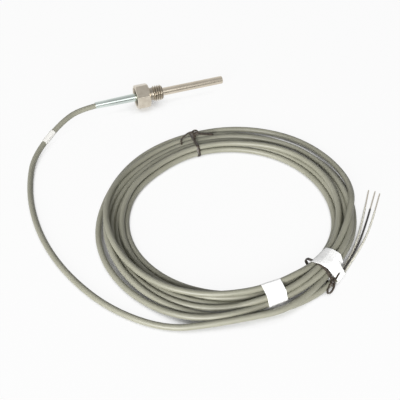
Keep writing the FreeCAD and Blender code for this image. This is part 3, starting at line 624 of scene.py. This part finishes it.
top_tie = [
    wrap("top_tie_band", 89.6, band_profile, sharp=50),
    *twist("top_tie_twist", (9.8, -54.8, 5.2), (10.6, -53.6, 9.6), turns=1.2, spread=0.5),
    loop("top_tie_loop", (10.6, -53.7, 10.1), along=(2.0, 0.0, 0.2), across=(0.0, 1.0, 1.1)),
    bent_end("top_tie_left_end", TOP_LEFT_END, width=1.4),
    bent_end("top_tie_right_end", TOP_RIGHT_END, width=2.2, lean=(0, -0.4, 1)),
]
side_tie = [
    wrap("side_tie_band", -61.4, band_profile, sharp=50, bulge=2.4),
    *twist("side_tie_twist", (49.4, -205.4, 5.2), (47.4, -208.2, 4.2), turns=1.0, spread=0.7),
    loop("side_tie_loop", (46.4, -209.4, 3.9), along=(-2.6, -2.8, -1.0), across=(1.3, -0.9, 0.5)),
    bent_end("side_tie_end", SIDE_END, width=1.8),
]
for pieces, node in ((top_tie, "twist_tie_top"), (side_tie, "twist_tie_side")):
    tie_plastic.paint("tie_plastic", *pieces)
    for piece in pieces:
        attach(piece, "root")
        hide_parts(node)

# Two blank labels of white paper. One is folded round the whole bundle, with one edge over the
# second tie, and the other round the inner strands only.
PAPER = 0.22
PAPER_GAP = 0.08
PAPER_TONES = (0.92, 0.92, 0.91), (0.97, 0.97, 0.96)


def sheet_profile(width, lifted=0.0):
    """Closed outline of a sheet across its width: along its under side and back over its top. It can
    be lifted at its first edge, where it lies over a tie: by half a wave over most of its width."""
    across = np.linspace(-width / 2, width / 2, 19)
    wave = np.cos(np.clip((across / width + 0.5) * 1.3, 0, 1) * math.pi)
    under = PAPER_GAP + lifted * (1 + wave) / 2
    return np.concatenate([np.column_stack([across, under]),
                           np.column_stack([across, under + PAPER])[::-1]])


band_label = wrap("band_label", -55.6, sheet_profile(15.4, TIE_THICKNESS), sharp=40, flare=1.0)
flag_label = wrap("flag_label", -88.0, sheet_profile(12.4), sharp=40, reach_to=81.5)
# The paper glows faintly: a weak white emission, painted light that lifts it towards white.
paper_with_painted_glow = Finish("label_paper", Roughness=0.75, Emission_Color=(1, 1, 1, 1), Emission_Strength=0.15)
fibres = paper_with_painted_glow.noise(3000)
paper_with_painted_glow.feed(Base_Color=fibres.blend(*PAPER_TONES))
paper_with_painted_glow.bump(fibres, depth=0.01 * MM)
paper_with_painted_glow.paint("label_paper", band_label, flag_label)
for label, node in ((band_label, "label_band"), (flag_label, "label_flag")):
    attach(label, "root")
    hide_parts(node)

# The studio floor: plain, pale and matt. The camera and polished metal see it nearly white, except
# where pieces close it in, so that narrow gaps and places of contact keep their shadow.
FLOOR_REACH = 3.0
FLOOR_TONE = (0.7, 0.7, 0.7, 1)
SHADOW_REACH = 0.02
WHITE_TO_CAMERA = 0.93
WHITE_TO_METAL = 0.9
floor_mesh = bpy.data.meshes.new("floor")
corners = [(x * FLOOR_REACH, y * FLOOR_REACH, 0) for x, y in ((-1, -1), (1, -1), (1, 1), (-1, 1))]
floor_mesh.from_pydata(corners, [], [(0, 1, 2, 3)])
floor = bpy.data.objects.new("floor", floor_mesh)
bpy.context.collection.objects.link(floor)
pale = Finish("pale_floor", Base_Color=FLOOR_TONE, Roughness=1.0, Specular_IOR_Level=0.0)
glow = pale.add("ShaderNodeEmission", {}, {"Color": (1, 1, 1, 1), "Strength": 1.0})
seen = pale.add("ShaderNodeLightPath", {}, {}, output="Is Camera Ray")
mirrored = pale.add("ShaderNodeLightPath", {}, {}, output="Is Glossy Ray")
openness = pale.add("ShaderNodeAmbientOcclusion", {"samples": 8}, {"Distance": SHADOW_REACH}, output="AO")
whiteness = WHITE_TO_CAMERA * (seen * openness.rise(0.3, 0.62)) + WHITE_TO_METAL * mirrored
lit = Signal(pale, pale.shader.outputs["BSDF"])
shown = pale.add("ShaderNodeMixShader", {}, {0: whiteness, 1: lit, 2: glow})
pale.tree.links.new(shown.socket, pale.tree.nodes["Material Output"].inputs["Surface"])
floor_mesh.materials.append(pale.material)

# The surround is white to the camera. To the pieces it is a soft grey that gets lighter towards the
# back, and matt surfaces get only part of it, so that the lamp models them.
SURROUND_TONES = (0.55, 0.55, 0.55), (0.9, 0.9, 0.9)
HELD_BACK = 0.7
world = bpy.data.worlds.new("surround")
world.use_nodes = True
bpy.context.scene.world = world
surround = Nodes(world.node_tree)
surround.tree.nodes.clear()
direction = surround.add("ShaderNodeTexCoord", {}, {}, output="Generated")
ahead = surround.add("ShaderNodeSeparateXYZ", {}, {"Vector": direction}, output="Y")
tone = ahead.rise(0.1, 0.9).blend(*SURROUND_TONES)
looked_at = surround.add("ShaderNodeLightPath", {}, {}, output="Is Camera Ray")
scattered = surround.add("ShaderNodeLightPath", {}, {}, output="Is Diffuse Ray")
sky = surround.add("ShaderNodeBackground", {}, {"Color": looked_at.blend(tone, (1.0, 1.0, 1.0)),
                                                "Strength": 1 - HELD_BACK * scattered})
world_output = surround.tree.nodes.new("ShaderNodeOutputWorld")
surround.tree.links.new(sky.socket, world_output.inputs["Surface"])

# Two lamps: a large soft one at the front left for the whole part, and a small weak one in front,
# which gives stem and sleeve a fine bright line along their length.


def soft_lamp(name, place, target, size, power):
    """A square lamp at a place, facing a target; places are in metres and power is in watts."""
    light = bpy.data.lights.new(name, "AREA")
    light.size = size
    light.energy = power
    lamp = bpy.data.objects.new(name, light)
    lamp.location = place
    lamp.rotation_euler = (Vector(target) - Vector(place)).to_track_quat("-Z", "Y").to_euler()
    bpy.context.collection.objects.link(lamp)


COIL_PLACE = (0.0, -0.1, 0.0)
PROBE_PLACE = (0.0, 0.0, 0.01)
soft_lamp("front_lamp", (-1.2, -1.7, 0.84), COIL_PLACE, size=1.2, power=72.0)
soft_lamp("glint_lamp", (-0.03, -0.81, 0.6), PROBE_PLACE, size=0.5, power=1.2)

# The camera: its place, aim and lens are the photograph's, worked out from the width of the cable
# near the lens and far from it.
CAMERA_PLACE = Vector((-0.1187, -0.4521, 0.3733))
CAMERA_TARGET = Vector((-0.0043, -0.1102, 0.0))
FOCAL_PIXELS = 760.0
PICTURE_PIXELS = 400.0
SENSOR_WIDTH = 36.0
NEAREST_SEEN = 0.01
camera_data = bpy.data.cameras.new("camera")
camera_data.sensor_width = SENSOR_WIDTH
camera_data.lens = SENSOR_WIDTH * FOCAL_PIXELS / PICTURE_PIXELS
camera_data.clip_start = NEAREST_SEEN
camera = bpy.data.objects.new("camera", camera_data)
camera.location = CAMERA_PLACE
camera.rotation_euler = (CAMERA_TARGET - CAMERA_PLACE).to_track_quat("-Z", "Y").to_euler()
bpy.context.collection.objects.link(camera)
bpy.context.scene.camera = camera
bpy.context.scene.view_settings.view_transform = "Standard"

bpy.context.view_layer.update()
